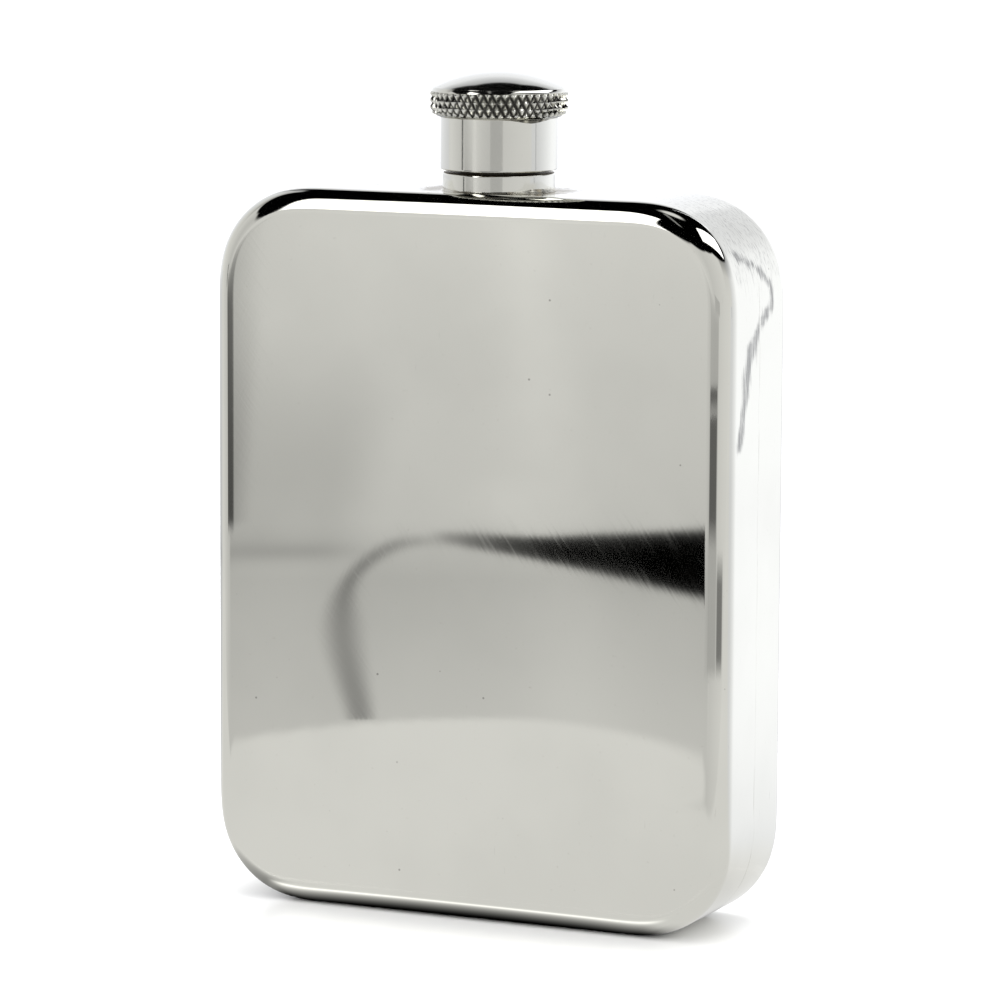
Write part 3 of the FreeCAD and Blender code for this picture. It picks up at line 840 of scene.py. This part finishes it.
def tone_card(name, places, height, tone, cover):
    """A reflection card from a grid of places in plan, in mm: an array of rows, columns and (x, y).

    Cards that overlap lie at different heights.
    """
    rows, columns = places.shape[:2]
    faces = [
        (r * columns + c, r * columns + c + 1, (r + 1) * columns + c + 1, (r + 1) * columns + c)
        for r in range(rows - 1)
        for c in range(columns - 1)
    ]
    heights = np.broadcast_to(height, (rows, columns))
    obj = make_object(name, np.dstack([places, heights]).reshape(-1, 3), faces, card)
    if obj.data.polygons[0].normal.z < 0:
        obj.data.flip_normals()
    set_attribute(obj, "tone", np.broadcast_to(tone, (rows, columns)).ravel())
    set_attribute(obj, "cover", np.broadcast_to(cover, (rows, columns)).ravel())
    ghost(obj)


def table_card():
    far = np.geomspace(600, FLOOR_HALF, 8)
    xs = np.concatenate([-far[::-1], np.arange(-560, 561, 4.0), far])
    ys = np.concatenate([-far[:3:-1], np.arange(-1350, -480, 18.0), np.arange(-476, 561, 4.0), far])
    places = np.dstack(np.meshgrid(xs, ys))
    x, y = places[..., 0], places[..., 1]
    beyond_x = np.maximum(np.abs(x) - (WIDTH / 2 - CORNER), 0) * 0.6
    beyond_y = np.maximum(np.abs(y) - (HALF_DEPTH - EDGE), 0)
    tone_card("table_card", places, 0.3, table_tone(x, y), smooth(np.hypot(beyond_x, beyond_y), 13, 19))


def contact_card():
    """The table close round the base: painted shadow where the flask stands, with one painted bright line in
    front.
    """
    half_x, half_y = WIDTH / 2 - CORNER, HALF_DEPTH - EDGE
    turn = np.linspace(-np.pi, np.pi, 181)[None, :]  # 0 is straight ahead
    step = np.concatenate([np.arange(0, 10, 0.6), np.arange(10, 26, 2.5)])[:, None]  # out from the base
    x = np.clip(40 * np.sin(turn), -half_x, half_x) + step / 0.6 * np.sin(turn)
    y = -np.clip(40 * np.cos(turn), -half_y, half_y) - step * np.cos(turn)
    ahead = smooth(x, 35, 30) * smooth(x, -39, -34) * (np.abs(turn) < np.pi / 2)
    left = (1 - ahead) * (turn < 0) * smooth(np.abs(turn), 2.3, 1.9)
    in_front = smooth(step, 1.5, 8) + 0.85 * hump(step, 8.0, 1.4)
    on_left = np.minimum(step / 20, 1) ** 0.9
    elsewhere = smooth(step, 0.5, 5.4)
    shade = in_front * ahead + on_left * left + elsewhere * (1 - ahead - left)
    tone = table_tone(x, y) * shade
    tone_card("contact_card", np.dstack([x, y]), 0.05 + 0.01 * step, tone, smooth(step, 25, 17))


def smooth_line(points, pieces):
    """A finer list of points on a smooth curve through the given ones (Catmull-Rom)."""
    s = np.array(points, float)
    s = np.vstack([2 * s[0] - s[1], s, 2 * s[-1] - s[-2]])
    out = []
    for a, b, c, d in zip(s, s[1:], s[2:], s[3:]):
        for t in np.linspace(0, 1, pieces, endpoint=False):
            bend = (2 * a - 5 * b + 4 * c - d) * t**2 + (3 * b - 3 * c + d - a) * t**3
            out.append((2 * b + (c - a) * t + bend) / 2)
    return np.array(out + [s[-2]])


def ribbon(name, stations, height):
    """A black strip over the table. Each station is (x, y, half_x, half_y, softness, cover), in mm.

    half_x and half_y lead from the middle to where the cover has fallen by half.
    """
    lines = smooth_line(stations, 12)[:, None, :]
    across = np.linspace(-1, 1, 25)[None, :, None]
    softness = np.clip(lines[..., 4:5], 0, 1)
    places = lines[..., 0:2] + lines[..., 2:4] * across * (1 + softness)
    fall = smooth(np.abs(across) * (1 + softness), 1 + softness, 1 - softness)
    tone_card(name, places, height, 0.0, (np.clip(lines[..., 5:6], 0, 1) * fall)[..., 0])


def polar_strip(name, origin, bearings, reach, tone, height=0.6, softness=0.1):
    """A strip of table between two bearings from a point in plan. reach lists (distance, cover)."""
    across = np.linspace(-1, 1, 25)[None, :] * (1 + softness)
    way = np.radians(sum(bearings) / 2 + (bearings[1] - bearings[0]) / 2 * across)
    distance, cover = np.array(reach, float)[:, :, None].transpose(1, 0, 2)
    places = np.dstack([origin[0] + distance * np.sin(way), origin[1] - distance * np.cos(way)])
    tone_card(name, places, height, tone, cover * smooth(np.abs(across), 1 + softness, 1 - softness))


def dark_streak():
    """A black wedge of card, and the soft grey bend that leads back from its tip to the pool."""
    ribbon(
        "streak_wedge",
        [
            (-102, -372, 22, 53, 0.15, 1.0),
            (-145, -374, 9, 20, 0.2, 1.0),
            (-170, -379, 4, 10, 0.7, 0.7),
            (-183, -383, 3, 7, 1.0, 0.0),
        ],
        1.0,
    )
    ribbon(
        "streak_bend",
        [
            (-175, -380, 4, 8, 1.0, 0.05),
            (-183, -364, 4, 6, 1.0, 0.45),
            (-170, -315, 3, 3, 1.0, 0.55),
            (-140, -250, 3, -1, 1.0, 0.45),
            (-90, -158, 2, -1, 0.8, 0.5),
        ],
        0.95,
    )


# dark cards that show in the right rolled edge only, as (near, far) distances from it
EDGE_BARS = [(450, 668), (700, 735)]


def edge_cards():
    """Strips that show as lines and bands in the rolled edges and on the cap's round sides."""
    polar_strip("edge_line", LEFT_EDGE, (-46, -28), [(400, 0), (420, 0.9), (960, 0.8), (1600, 0)], 0.03)
    polar_strip("edge_grey", RIGHT_EDGE, (-20, 24), [(235, 0), (250, 0.85), (900, 0.8), (1600, 0)], 0.44)
    for k, (near, far) in enumerate(EDGE_BARS):
        reach = [(near - 40, 0), (near + 10, 0.85), (far - 6, 0.85), (far + 6, 0)]
        polar_strip(f"edge_bar_{k}", RIGHT_EDGE, (-18, 20), reach, 0.07, 0.9)
    reach = [(235, 0), (260, 0.8), (360, 0.8), (410, 0)]
    polar_strip("edge_dark", RIGHT_EDGE, (28, 60), reach, 0.10, 0.9, 0.3)
    polar_strip("cap_band", (0, 0), (7.5, 31.5), [(1100, 0), (1300, 1.0), (3900, 1.0)], 0.50, 1.2)
    polar_strip("cap_line_left", (0, 0), (-53.6, -50.4), [(1150, 0), (1300, 0.9), (3900, 0.9)], 0.05, 1.2)
    polar_strip("cap_line_right", (0, 0), (100.5, 102.5), [(1150, 0), (1300, 0.5), (3900, 0.5)], 0.3, 1.2)


table_card()
contact_card()
dark_streak()
edge_cards()
floor()

# elevation, by bearing, above which the room is dark but for its lamps
ROOM_LIMITS = [
    (-180, 33), (-172, 33), (-165, 42), (-145, 43), (-137, 34), (-130, 52), (-115, 57), (-50, 20), (-25, -5),
    (-5, 14), (30, 31), (60, 38), (120, 27), (150, 26), (180, 33),
]

# lamps as (corners in bearing and elevation, brightness, softness of the edge)
LAMPS = [
    (((-27.5, -4.3), (-21, -4.3), (-15.5, 40), (-44, 52)), 2.2, 0.012),
    (((50, 48), (122, 28), (153, 34), (97, 67)), 2.2, 0.012),
    (((173, 24), (178, 24), (-150, 71), (-150, 68)), 1.6, 0.004),
    (((3, 46), (8, 46), (-20, 78), (-30, 75)), 0.25, 0.01),
]
CEILING = (77, 84)  # elevations between which a soft light straight above sets in
PLAIN_LIGHT = 1.45  # strength of the world for everything but mirror rays


def by_bearing(n, bearing, table, scale):
    """A value that follows a table of (bearing, value)."""
    node = n.add("ShaderNodeValToRGB", {0: n.ramp(bearing, -180, 180, 0, 1, "LINEAR")})
    elements = node.color_ramp.elements
    while len(elements) < len(table):
        elements.new(0.5)
    for element, (at, value) in zip(elements, table):
        level = (value + scale * 0.1) / (scale * 1.2)
        element.position, element.color = (at + 180) / 360, (level, level, level, 1.0)
    return n.math("SUBTRACT", n.math("MULTIPLY", node.outputs[0], scale * 1.2), scale * 0.1)


def lamp_shape(n, way, corners, soft):
    """1 in the directions inside four corners, which run anticlockwise as seen from the flask."""
    places = []
    for bearing, rise in corners:
        a, e = math.radians(bearing), math.radians(rise)
        places.append(Vector((math.sin(a) * math.cos(e), -math.cos(a) * math.cos(e), math.sin(e))))
    middle = sum(places, Vector()).normalized()
    inside = 1.0
    for first, second in zip(places, places[1:] + places[:1]):
        edge = first.cross(second).normalized()
        if edge.dot(middle) < 0:
            edge.negate()
        beyond = n.add("ShaderNodeVectorMath", {0: way, 1: edge}, operation="DOT_PRODUCT").outputs["Value"]
        inside = n.math("MULTIPLY", inside, n.ramp(beyond, -soft, soft))
    return inside


def studio_world():
    world = bpy.data.worlds.new("studio")
    bpy.context.scene.world = world
    world.use_nodes = True
    n = Nodes(world.node_tree)
    way = n.add("ShaderNodeTexCoord").outputs["Generated"]
    x, y, z = n.add("ShaderNodeSeparateXYZ", {0: way}).outputs
    rise = n.math("DEGREES", n.math("ARCSINE", z))
    bearing = n.math("DEGREES", n.math("ARCTAN2", x, n.math("MULTIPLY", y, -1.0)))

    # lit below the limit. Except in front, it dims just under the limit and higher up.
    below = n.math("SUBTRACT", by_bearing(n, bearing, ROOM_LIMITS, 60.0), rise)
    lit = n.ramp(below, -0.5, 2.0)
    near_limit = n.ramp(below, 1.0, 16.0, 0.52, 1.0, "LINEAR")
    fading = n.math("MULTIPLY", near_limit, n.ramp(rise, 2.0, 32.0, 1.0, 0.84, "LINEAR"))
    fading = n.math("MAXIMUM", fading, n.ramp(y, -0.3, 0.1, 1.0, 0.0))
    tone = n.math("MULTIPLY", by_bearing(n, bearing, ROOM_TONES, 1.5), n.math("MULTIPLY", lit, fading))
    for corners, brightness, soft in LAMPS:
        lamp = lamp_shape(n, way, corners, soft)
        tone = n.math("MAXIMUM", tone, n.math("MULTIPLY", lamp, brightness))
    tone = n.math("MAXIMUM", tone, n.ramp(rise, *CEILING, 0.0, 0.8))

    path = n.add("ShaderNodeLightPath").outputs["Is Glossy Ray"]
    colour = n.mix_colour(n.ramp(y, 0.1, 0.4), WHITE, COOL_WHITE)
    mirror = n.add("ShaderNodeBackground", {"Color": colour, "Strength": tone})
    plain = n.add("ShaderNodeBackground", {"Color": WHITE, "Strength": PLAIN_LIGHT})
    mixed = n.add("ShaderNodeMixShader", {0: path, 1: plain.outputs[0], 2: mirror.outputs[0]})
    n.add("ShaderNodeOutputWorld", {"Surface": mixed.outputs[0]})


def soft_light(name, place, size, power):
    data = bpy.data.lights.new(name, "AREA")
    data.shape = "RECTANGLE"
    data.size, data.size_y = size
    data.energy = power
    obj = bpy.data.objects.new(name, data)
    obj.location = place
    obj.rotation_mode = "QUATERNION"
    obj.rotation_quaternion = (Vector(place) - Vector((0, 0, 0.03))).to_track_quat("Z", "Y")
    obj.visible_glossy = False
    bpy.context.scene.collection.objects.link(obj)


studio_world()
soft_light("overhead", place=(0.05, 0.15, 0.9), size=(0.8, 0.6), power=4.0)


# ---- camera -------------------------------------------------------------------------
def place_camera(azimuth, distance, height, pan, tilt, roll, focal):
    """A camera to the right of straight ahead, looking slightly down. Angles in degrees, focal in mm."""
    a, yaw = math.radians(azimuth), math.radians(azimuth + pan)
    down, lean = math.radians(tilt), math.radians(roll)
    forward = Vector((-math.sin(yaw) * math.cos(down), math.cos(yaw) * math.cos(down), -math.sin(down)))
    right = Vector((math.cos(yaw), math.sin(yaw), 0))
    up = right.cross(forward)
    right, up = right * math.cos(lean) + up * math.sin(lean), up * math.cos(lean) - right * math.sin(lean)
    data = bpy.data.cameras.new("camera")
    data.sensor_width = 36.0
    data.lens = focal
    data.clip_start, data.clip_end = 0.05, 20.0
    obj = bpy.data.objects.new("camera", data)
    turn = Matrix((right, up, -forward)).transposed().to_4x4()
    obj.matrix_world = Matrix.Translation((math.sin(a) * distance, -math.cos(a) * distance, height)) @ turn
    bpy.context.scene.collection.objects.link(obj)
    bpy.context.scene.camera = obj


place_camera(azimuth=24.7, distance=0.8, height=0.18, pan=-0.03, tilt=8.07, roll=0.28, focal=181)
bpy.context.scene.view_settings.view_transform = "Standard"
